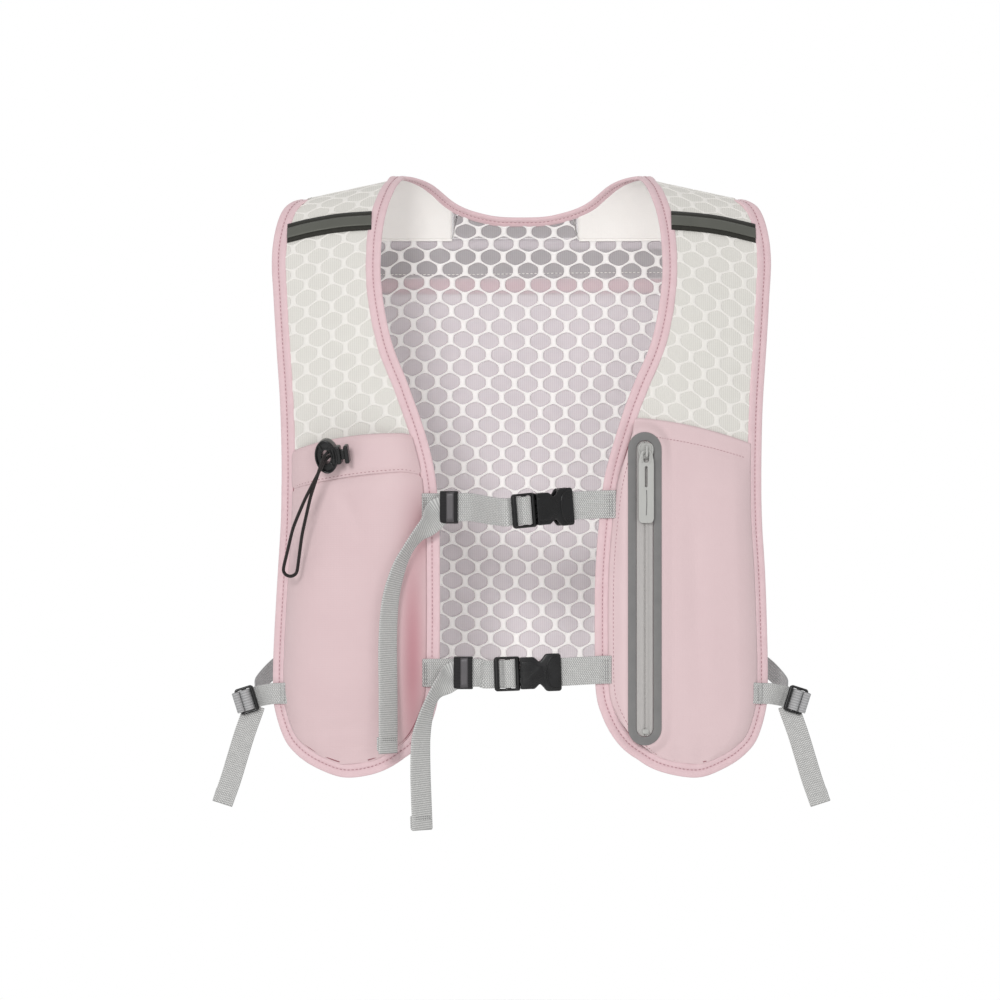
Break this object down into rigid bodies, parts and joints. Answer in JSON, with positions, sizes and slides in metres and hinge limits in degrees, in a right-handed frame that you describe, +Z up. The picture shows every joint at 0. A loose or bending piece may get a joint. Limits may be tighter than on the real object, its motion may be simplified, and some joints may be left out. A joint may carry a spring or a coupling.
{
  "type": "running vest",
  "caption": "Lightweight over-the-shoulder running vest with mesh shoulders and back, a drawcord pocket, a zipped pocket, buckled chest straps and adjustable side straps.",
  "frame": {"origin": "midway between the two shoulder crests, where the wearer's shoulders carry the vest", "axes": "+Z up, -Y out of the wearer's chest, +X towards the wearer's left hand"},
  "size_m": [0.4434, 0.1872, 0.4669],
  "materials": {
    "pink_fabric": "smooth coated stretch fabric",
    "pink_tape": "folded bias tape with one row of stitches",
    "white_mesh": "honeycomb mesh bonded to fine tricot",
    "lining": "plain knit",
    "reflective": "glass-bead reflective tape",
    "black_tape": "woven tape",
    "webbing": "ribbed polyester webbing",
    "dark_webbing": "ribbed polyester webbing",
    "elastic": "elastic band",
    "buckle_plastic": "moulded acetal",
    "zip_welt": "bonded film",
    "zip_tape": "woven tape with a moulded coil",
    "zip_metal": "grey lacquer",
    "cord": "braided cord"
  },
  "bodies": {
    "vest": {"front_binding_left": "pink_tape", "front_binding_right": "pink_tape", "armhole_binding_left": "pink_tape", "armhole_binding_right": "pink_tape", "neck_binding": "pink_tape", "hem_binding": "pink_tape", "shoulder_mesh_left": "white_mesh", "shoulder_mesh_right": "white_mesh", "back_mesh_panel": "white_mesh", "back_reflective_band": "reflective", "back_pocket_panel": "pink_fabric", "back_lower_panel": "lining", "neck_patch": "black_tape", "shoulder_tape_left": "black_tape", "shoulder_reflector_left": "reflective", "shoulder_tape_right": "black_tape", "shoulder_reflector_right": "reflective", "pocket_left_lining": "lining", "pocket_left_hem": "pink_fabric", "pocket_left_panel": "pink_fabric", "pocket_right_lining": "lining", "pocket_right_panel": "pink_fabric", "zip_frame": "zip_welt", "zip_tape": "zip_tape", "zip_stop": "zip_metal", "cord_loop": "cord", "buckle_upper_female": "buckle_plastic", "strap_upper_anchor": "webbing", "strap_upper_run": "webbing", "strap_upper_tail": "webbing", "strap_upper_fixed": "webbing", "buckle_lower_female": "buckle_plastic", "strap_lower_anchor": "webbing", "strap_lower_run": "webbing", "strap_lower_tail": "webbing", "strap_lower_fixed": "webbing", "side_tab_left": "webbing", "side_strap_left": "dark_webbing", "side_tab_right": "webbing", "side_strap_right": "dark_webbing"},
    "zip_slider": {"zip_slider": "zip_metal"},
    "zip_puller": {"zip_puller": "zip_metal"},
    "cord_lock": {"cord_lock_body": "buckle_plastic"},
    "cord_lock_button": {"cord_lock_button": "buckle_plastic"},
    "side_left": {"side_lock_left": "buckle_plastic", "side_tail_left": "webbing"},
    "side_right": {"side_lock_right": "buckle_plastic", "side_tail_right": "webbing"},
    "buckle_upper_male": {"buckle_upper_male": "buckle_plastic"},
    "prong_upper_top": {"buckle_upper_prong_top": "buckle_plastic"},
    "prong_upper_bottom": {"buckle_upper_prong_bottom": "buckle_plastic"},
    "keeper_upper": {"keeper_upper": "elastic", "keeper_upper_stripe": "reflective"},
    "buckle_lower_male": {"buckle_lower_male": "buckle_plastic"},
    "prong_lower_top": {"buckle_lower_prong_top": "buckle_plastic"},
    "prong_lower_bottom": {"buckle_lower_prong_bottom": "buckle_plastic"},
    "keeper_lower": {"keeper_lower": "elastic", "keeper_lower_stripe": "reflective"}
  },
  "joints": [
    {"name": "zip_slide", "type": "slide", "parent": "vest", "child": "zip_slider", "axis": [0, 0, 1], "range_m": [-0.19, 0]},
    {"name": "zip_puller_swing", "type": "hinge", "parent": "zip_slider", "child": "zip_puller", "pos_m": [0.08888, -0.08251, -0.1972], "axis": [-0.9749, -0.2227, 0], "range_deg": [0, 150]},
    {"name": "cord_lock_slide", "type": "slide", "parent": "vest", "child": "cord_lock", "axis": [-0.2206, -0.9426, -0.2507], "range_m": [0, 0.012], "deforming": ["cord_loop"]},
    {"name": "cord_lock_press", "type": "slide", "parent": "cord_lock", "child": "cord_lock_button", "axis": [-0.9759, 0.1952, -0.0976], "range_m": [0, 0.002], "stiffness_N_per_m": 400},
    {"name": "buckle_upper_release", "type": "slide", "parent": "vest", "child": "buckle_upper_male", "axis": [-0.8796, -0.4677, -0.0872], "range_m": [0, 0.02], "deforming": ["strap_upper_run"]},
    {"name": "prong_upper_top_squeeze", "type": "hinge", "parent": "buckle_upper_male", "child": "prong_upper_top", "pos_m": [0.00954, -0.09531, -0.23386], "axis": [-0.4695, 0.8829, 0], "range_deg": [0, 5], "stiffness_Nm_per_rad": 0.05},
    {"name": "prong_upper_bottom_squeeze", "type": "hinge", "parent": "buckle_upper_male", "child": "prong_upper_bottom", "pos_m": [0.01029, -0.09491, -0.24363], "axis": [0.4695, -0.8829, 0], "range_deg": [0, 5], "stiffness_Nm_per_rad": 0.05},
    {"name": "keeper_upper_slide", "type": "slide", "parent": "vest", "child": "keeper_upper", "axis": [1, 0, 0], "range_m": [0, 0.008]},
    {"name": "buckle_lower_release", "type": "slide", "parent": "vest", "child": "buckle_lower_male", "axis": [-0.997, -0.0697, -0.0349], "range_m": [0, 0.0105], "deforming": ["strap_lower_run"]},
    {"name": "prong_lower_top_squeeze", "type": "hinge", "parent": "buckle_lower_male", "child": "prong_lower_top", "pos_m": [-0.00083, -0.08469, -0.35064], "axis": [-0.0698, 0.9976, 0], "range_deg": [0, 5], "stiffness_Nm_per_rad": 0.05},
    {"name": "prong_lower_bottom_squeeze", "type": "hinge", "parent": "buckle_lower_male", "child": "prong_lower_bottom", "pos_m": [-0.00049, -0.08466, -0.36043], "axis": [0.0698, -0.9976, 0], "range_deg": [0, 5], "stiffness_Nm_per_rad": 0.05},
    {"name": "keeper_lower_slide", "type": "slide", "parent": "vest", "child": "keeper_lower", "axis": [1, 0, 0], "range_m": [0, 0.004]},
    {"name": "side_lock_left_swing", "type": "hinge", "parent": "vest", "child": "side_left", "pos_m": [-0.1887, -0.031, -0.37282], "axis": [-0.3, 0, 0.9539], "range_deg": [0, 25], "deforming": ["side_strap_left"]},
    {"name": "side_lock_right_swing", "type": "hinge", "parent": "vest", "child": "side_right", "pos_m": [0.1887, -0.031, -0.37282], "axis": [-0.3, 0, -0.9539], "range_deg": [0, 25], "deforming": ["side_strap_right"]}
  ],
  "couplings": [
    {"joint": "prong_upper_bottom_squeeze", "follows": "prong_upper_top_squeeze", "ratio": 1},
    {"joint": "prong_lower_bottom_squeeze", "follows": "prong_lower_top_squeeze", "ratio": 1}
  ]
}
